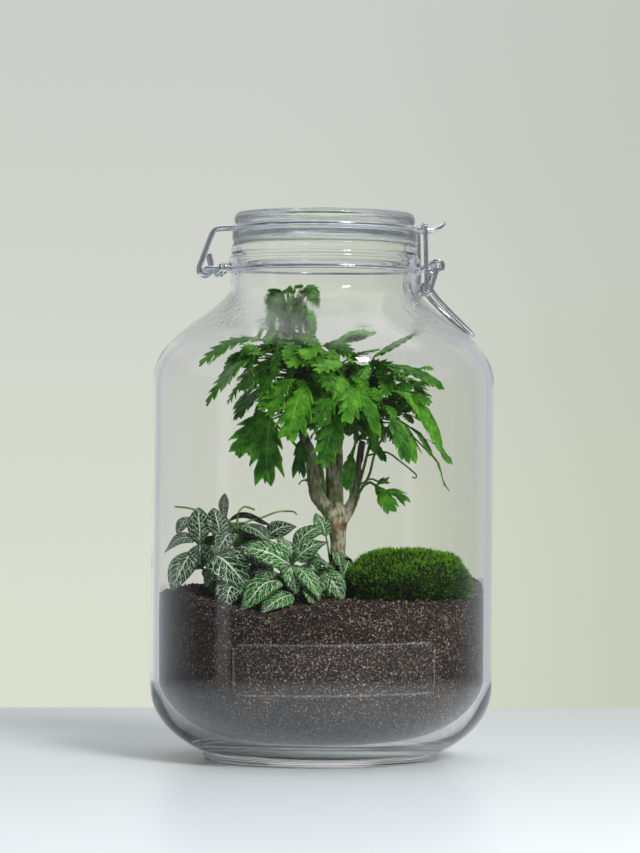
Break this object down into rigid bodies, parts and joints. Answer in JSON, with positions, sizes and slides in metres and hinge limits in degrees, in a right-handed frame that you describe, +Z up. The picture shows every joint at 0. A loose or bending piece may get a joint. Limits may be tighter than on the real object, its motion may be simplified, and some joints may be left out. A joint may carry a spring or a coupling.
{
  "type": "glass plant terrarium",
  "caption": "Closed round clip-top glass jar with a wire bail closure, planted with a lobed-leaf tree, white-veined plants and a moss cushion on dark soil.",
  "frame": {"origin": "centre of the foot ring, on the surface the jar stands on", "axes": "+Z up along the jar's axis, the hinge at -X and the clasp at +X, the side seen in the picture towards -Y"},
  "size_m": [0.184, 0.184, 0.2935],
  "materials": {
    "jar_glass": "clear soda-lime glass, smooth and glossy",
    "seal": "translucent whitish rubber, matt",
    "wire": "bright galvanised steel wire",
    "soil": "dark brown crumbly soil",
    "bark": "grey-brown rough bark",
    "tree_leaf": "bright green leaf, slightly glossy",
    "veined_leaf": "dark green leaf with a white vein net",
    "moss": "dense green moss"
  },
  "bodies": {
    "jar": {"jar_glass": "jar_glass", "neck_band": "wire", "soil": "soil", "tree_trunk": "bark", "tree_leaves_left": "tree_leaf", "tree_leaves_centre": "tree_leaf", "tree_leaves_right": "tree_leaf", "tree_sprig": "tree_leaf", "nerve_plant_left": "veined_leaf", "nerve_plant_middle": "veined_leaf", "nerve_plant_front": "veined_leaf", "nerve_plant_right": "veined_leaf", "moss_cushion": "moss"},
    "lid": {"lid_glass": "jar_glass", "lid_seal": "seal", "lid_bail": "wire"},
    "link": {"clasp_link": "wire"},
    "lever": {"clasp_lever": "wire"}
  },
  "joints": [
    {"name": "lid_hinge", "type": "hinge", "parent": "jar", "child": "lid", "pos_m": [-0.0643, 0, 0.2625], "axis": [0, -1, 0], "range_deg": [0, 150]},
    {"name": "link_swing", "type": "hinge", "parent": "lid", "child": "link", "pos_m": [0.0528, 0, 0.2878], "axis": [0, -1, 0], "range_deg": [0, 60]},
    {"name": "lever_hinge", "type": "hinge", "parent": "jar", "child": "lever", "pos_m": [0.0603, 0, 0.2655], "axis": [0, -1, 0], "range_deg": [0, 110]}
  ]
}
